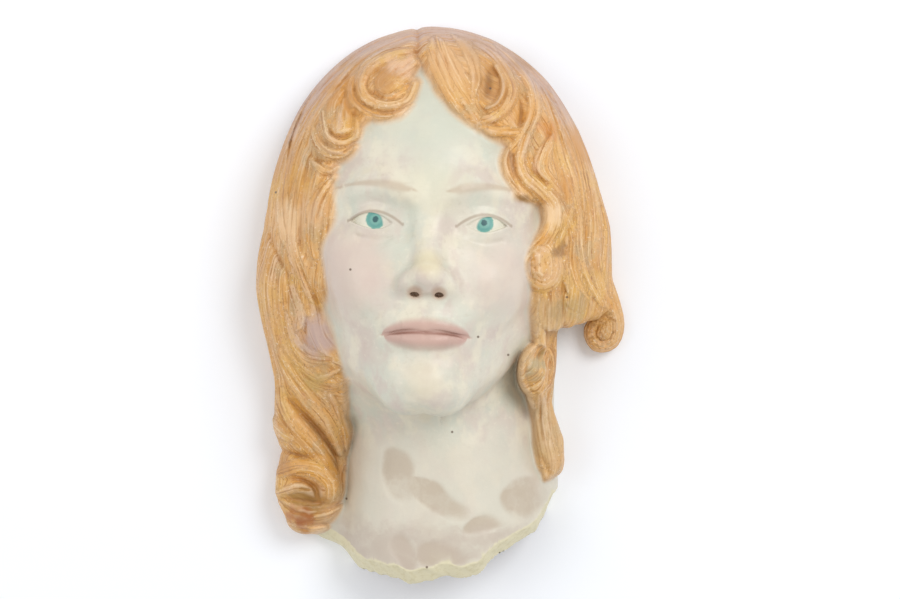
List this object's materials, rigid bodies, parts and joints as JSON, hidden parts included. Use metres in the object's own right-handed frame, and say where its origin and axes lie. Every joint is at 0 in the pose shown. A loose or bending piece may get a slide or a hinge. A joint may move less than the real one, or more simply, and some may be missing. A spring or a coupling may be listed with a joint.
{
  "type": "glazed ceramic mask",
  "caption": "Hollow cast mask of a calm head with loose curling hair and a broken-off neck, open at the back, in satin coloured glaze",
  "frame": {"origin": "middle of the bounding box in plan, at the height of the back rim that the mask lies on", "axes": "+Y to the crown, +X to the viewer's right, +Z out of the face"},
  "size_m": [0.224, 0.3376, 0.1252],
  "materials": {
    "glaze": "satin coloured glaze over cast clay: pale green-cream skin, ochre hair, bare clay inside"
  },
  "bodies": {
    "root": {"mask": "glaze"}
  },
  "joints": []
}
